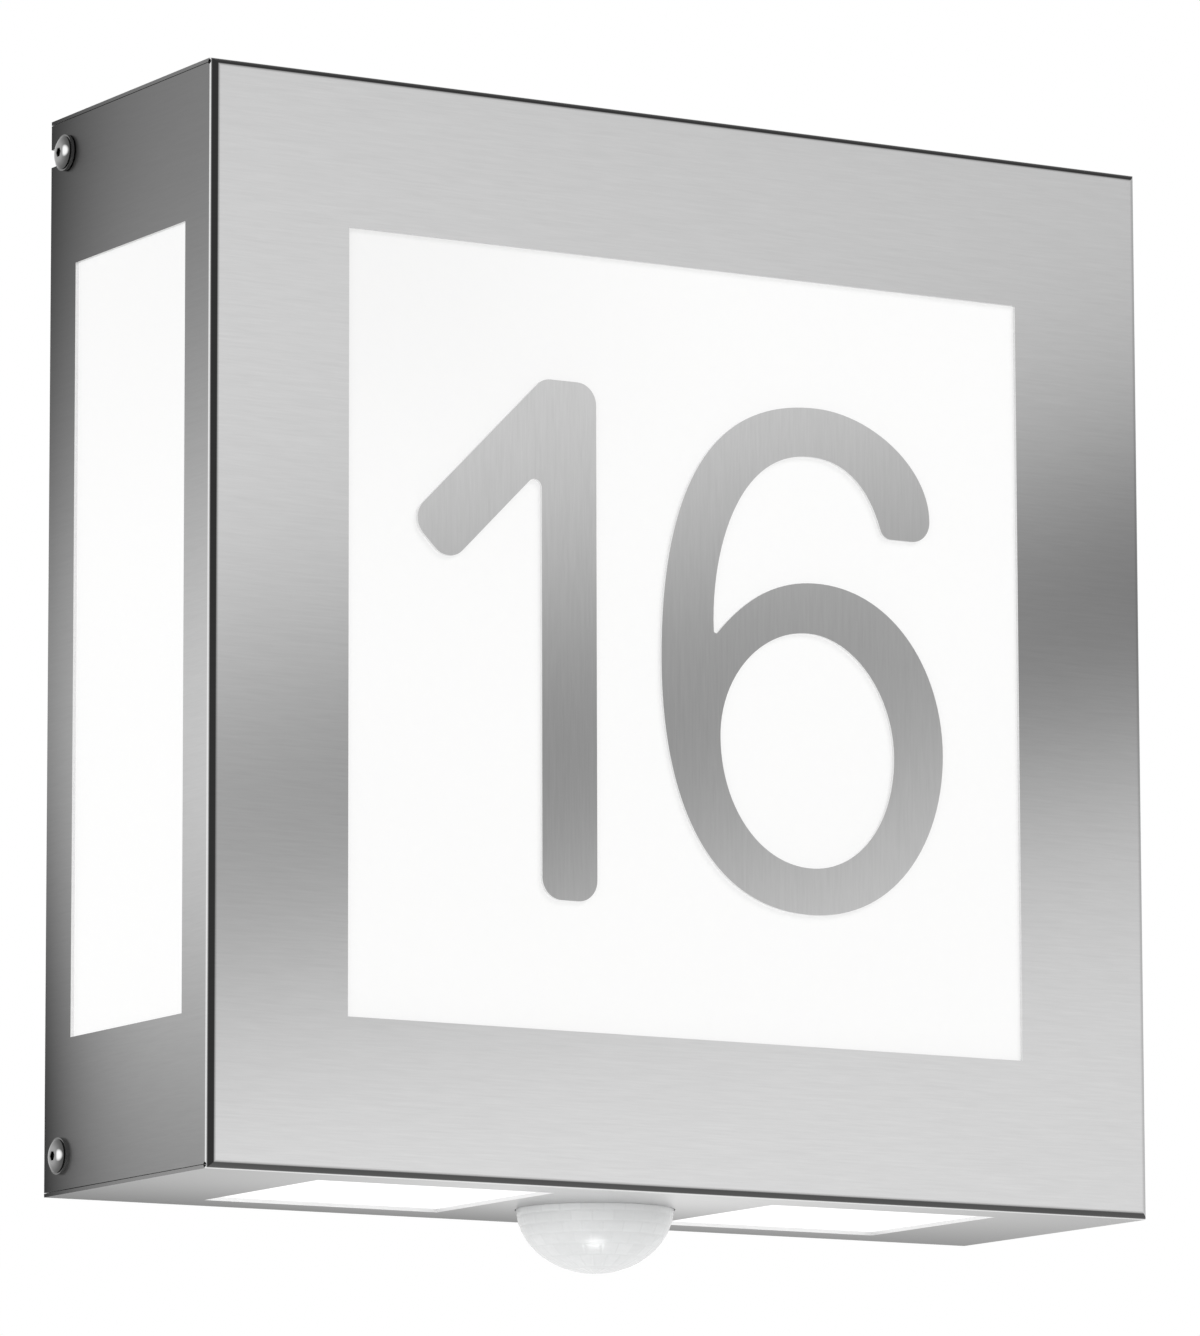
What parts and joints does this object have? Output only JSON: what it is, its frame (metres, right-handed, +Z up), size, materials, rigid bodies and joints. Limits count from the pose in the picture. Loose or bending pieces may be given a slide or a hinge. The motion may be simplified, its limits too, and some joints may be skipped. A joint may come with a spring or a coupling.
{
  "type": "illuminated house number sign",
  "caption": "Square wall lamp of folded steel that shows a house number on a lit opal pane, with lit sides and underside and a motion sensor below.",
  "frame": {"origin": "centre of the sign on the wall plane, where the wall gasket's rear face lies", "axes": "+Z up, +Y into the wall, so the numerals face -Y; +X to the right seen from the front"},
  "size_m": [0.3068, 0.095, 0.3176],
  "materials": {
    "cover_steel": "brushed stainless steel, fine grain across the front",
    "numeral_steel": "brushed stainless steel, grain upright",
    "opal_pane": "opal acrylic, lit from behind",
    "screw_steel": "bright turned stainless steel",
    "fixing_zinc": "bright zinc plate",
    "plate_zinc": "galvanised sheet",
    "gasket_foam": "closed cell foam rubber",
    "grommet_rubber": "soft rubber",
    "tray_white": "white powder coat",
    "board_white": "white solder mask on an aluminium board",
    "chip_yellow": "yellow phosphor in a white frame",
    "connector_white": "moulded nylon",
    "driver_white": "moulded polycarbonate",
    "terminal_white": "moulded nylon",
    "lead_blue": "insulated wire",
    "lead_brown": "insulated wire",
    "lead_earth": "insulated wire, green and yellow",
    "lead_red": "insulated wire",
    "cable_grey": "round sheathed cable",
    "brass": "plain brass",
    "dome_white": "milky translucent lens plastic",
    "housing_grey": "moulded, light grey",
    "board_green": "glass fibre board with green solder mask",
    "detector_metal": "nickel plated can",
    "trimmer_blue": "moulded",
    "dial_orange": "moulded",
    "plug_white": "moulded nylon"
  },
  "bodies": {
    "base": {"upper_screws": "screw_steel", "upper_washers": "screw_steel", "captive_nuts": "fixing_zinc", "back_plate": "plate_zinc", "wall_gasket": "gasket_foam", "cable_grommet": "grommet_rubber", "cable_clamp": "fixing_zinc", "clamp_screws": "fixing_zinc", "terminal_block": "terminal_white", "terminal_screws": "brass", "terminal_mount_screws": "fixing_zinc", "neutral_lead": "lead_blue", "live_lead": "lead_brown", "earth_lead": "lead_earth", "earth_stud": "fixing_zinc", "earth_lug": "fixing_zinc", "earth_nut": "fixing_zinc", "led_driver": "driver_white", "driver_screws": "fixing_zinc", "spacers": "brass", "tray_screws": "fixing_zinc", "led_tray": "tray_white", "led_boards": "board_white", "led_chips": "chip_yellow", "led_connectors": "connector_white", "led_jumpers": "lead_red", "supply_leads": "lead_red", "sensor_socket": "plug_white", "socket_pins": "brass", "socket_lead": "cable_grey"},
    "cover": {"cover_shell": "cover_steel", "front_pane": "opal_pane", "right_pane": "opal_pane", "left_pane": "opal_pane", "under_right_pane": "opal_pane", "under_left_pane": "opal_pane", "pane_clips": "fixing_zinc", "cover_studs": "fixing_zinc", "cover_nuts": "fixing_zinc", "numeral_one": "numeral_steel", "numeral_six": "numeral_steel", "lower_screws": "screw_steel", "lower_washers": "screw_steel", "lower_nuts": "fixing_zinc", "sensor_dome": "dome_white", "dome_seal": "gasket_foam", "sensor_housing": "housing_grey", "sensor_plate": "fixing_zinc", "sensor_board": "board_green", "pir_detector": "detector_metal", "light_sensor": "detector_metal", "dial_board": "board_green", "board_link": "connector_white", "trimmers": "trimmer_blue", "sensor_plug": "plug_white", "sensor_lead": "cable_grey"},
    "time_dial": {"time_dial": "dial_orange"},
    "lux_dial": {"lux_dial": "dial_orange"},
    "range_dial": {"range_dial": "dial_orange"}
  },
  "joints": [
    {"name": "cover_slide", "type": "slide", "parent": "base", "child": "cover", "axis": [0, -1, 0], "range_m": [0, 0.12]},
    {"name": "time_dial_turn", "type": "hinge", "parent": "cover", "child": "time_dial", "pos_m": [-0.01, -0.0425, -0.116], "axis": [0, 0, 1], "range_deg": [-135, 135]},
    {"name": "lux_dial_turn", "type": "hinge", "parent": "cover", "child": "lux_dial", "pos_m": [0, -0.0425, -0.116], "axis": [0, 0, 1], "range_deg": [-135, 135]},
    {"name": "range_dial_turn", "type": "hinge", "parent": "cover", "child": "range_dial", "pos_m": [0.01, -0.0425, -0.116], "axis": [0, 0, 1], "range_deg": [-135, 135]}
  ]
}
